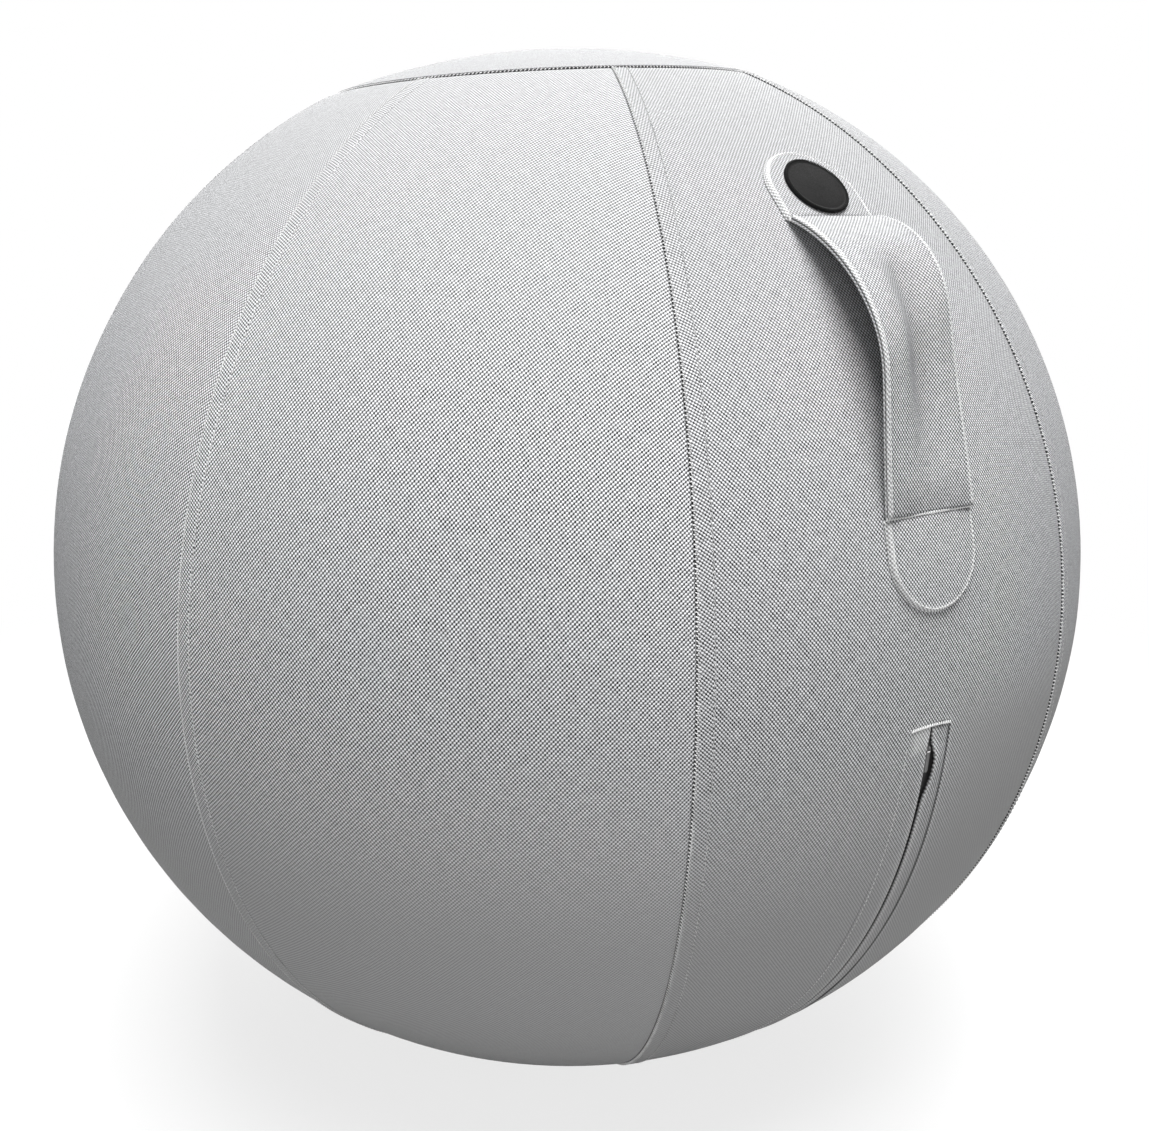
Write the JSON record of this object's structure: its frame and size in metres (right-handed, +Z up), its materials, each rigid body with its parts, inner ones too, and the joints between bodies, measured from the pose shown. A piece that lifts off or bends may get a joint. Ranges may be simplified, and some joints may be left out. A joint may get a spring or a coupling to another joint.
{
  "type": "sitting ball",
  "caption": "Inflated sitting ball in a sewn woven cover of long panels and round caps, with a carrying strap, a plain round badge and a concealed zip.",
  "frame": {"origin": "middle of the flat patch under the ball, on the floor", "axes": "+Z up through the two caps, -Y towards the strap and the zip"},
  "size_m": [0.6498, 0.6498, 0.635],
  "materials": {
    "cover_fabric": "light grey melange plain weave",
    "strap_fabric": "the cover's weave, folded and edge stitched",
    "badge_rubber": "black, satin, plain",
    "zip_tape": "dark grey woven tape",
    "zip_coil": "dark grey nylon coil",
    "zip_metal": "grey enamel",
    "bladder_vinyl": "grey vinyl",
    "valve_plastic": "white moulded"
  },
  "bodies": {
    "cover": {"top_cap": "cover_fabric", "bottom_cap": "cover_fabric", "strap_upper_end": "strap_fabric", "strap_lower_end": "strap_fabric", "badge": "badge_rubber", "zip_lip_left": "cover_fabric", "zip_lip_right": "cover_fabric", "zip_tape_left": "zip_tape", "zip_tape_right": "zip_tape", "zip_coil_left": "zip_coil", "zip_coil_right": "zip_coil", "zip_top_stops": "zip_metal", "zip_bottom_stop": "zip_metal", "bladder": "bladder_vinyl", "valve_plug": "valve_plastic", "zip_panel": "cover_fabric", "long_panel_1": "cover_fabric", "long_panel_2": "cover_fabric", "long_panel_3": "cover_fabric", "long_panel_4": "cover_fabric", "long_panel_5": "cover_fabric", "long_panel_6": "cover_fabric", "long_panel_7": "cover_fabric"},
    "strap": {"strap_inner_ply": "strap_fabric", "strap_outer_ply": "strap_fabric"},
    "slider": {"zip_slider": "zip_metal"},
    "pull": {"zip_pull": "zip_metal"}
  },
  "joints": [
    {"name": "zip_travel", "type": "hinge", "parent": "cover", "child": "slider", "pos_m": [0, 0, 0.31599], "axis": [1, 0, 0], "range_deg": [0, 52]},
    {"name": "pull_flip", "type": "hinge", "parent": "slider", "child": "pull", "pos_m": [0, -0.32332, 0.29215], "axis": [-1, 0, 0], "range_deg": [0, 150]},
    {"name": "strap_press", "type": "slide", "parent": "cover", "child": "strap", "axis": [0, 0.8699, -0.4932], "range_m": [0, 0.014], "stiffness_N_per_m": 300, "springref_m": -0.002, "deforming": ["strap_inner_ply", "strap_outer_ply"]}
  ]
}
